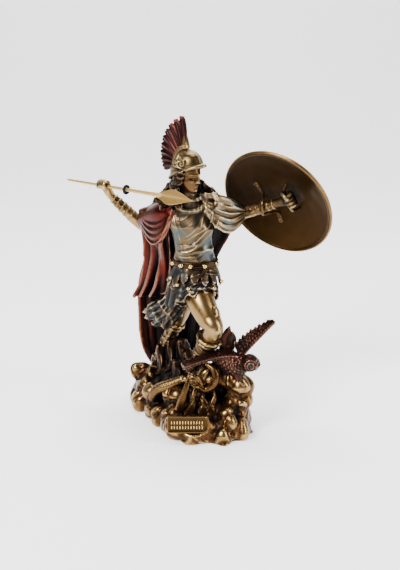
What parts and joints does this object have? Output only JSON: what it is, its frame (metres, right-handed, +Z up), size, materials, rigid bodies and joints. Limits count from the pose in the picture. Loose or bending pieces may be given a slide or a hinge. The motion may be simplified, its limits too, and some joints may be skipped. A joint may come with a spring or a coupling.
{
  "type": "statuette",
  "caption": "Bronze-finished statuette of a helmeted goddess in a cloak lunging over rocks, with raised spear, round shield and a flying owl.",
  "frame": {"origin": "on the flat underside of the rocks, below the figure", "axes": "+Z up, -Y to the front, where the name tablet is, +X to the viewer's right, on the shield's side"},
  "size_m": [0.2079, 0.1165, 0.2424],
  "materials": {
    "bronze": "cold-cast resin with an antique bronze finish, dark in the hollows and rubbed bright on the edges",
    "red_patina": "cold-cast resin with a dark red patina and rubbed copper edges",
    "blue_patina": "cold-cast resin with a blue-grey patina over rubbed bronze folds",
    "dark_bronze": "cold-cast resin with a nearly black bronze finish and rubbed edges",
    "shield_bronze": "cold-cast resin with a brushed brown bronze finish and a brighter rim",
    "spear_brass": "pale brass shaft and gold blade, satin",
    "gilt": "pale gold paint, satin",
    "black": "black, satin"
  },
  "bodies": {
    "root": {"figure_owl_and_rocks": "bronze", "spear": "spear_brass", "spear_collar": "black", "shield": "shield_bronze"}
  },
  "joints": []
}
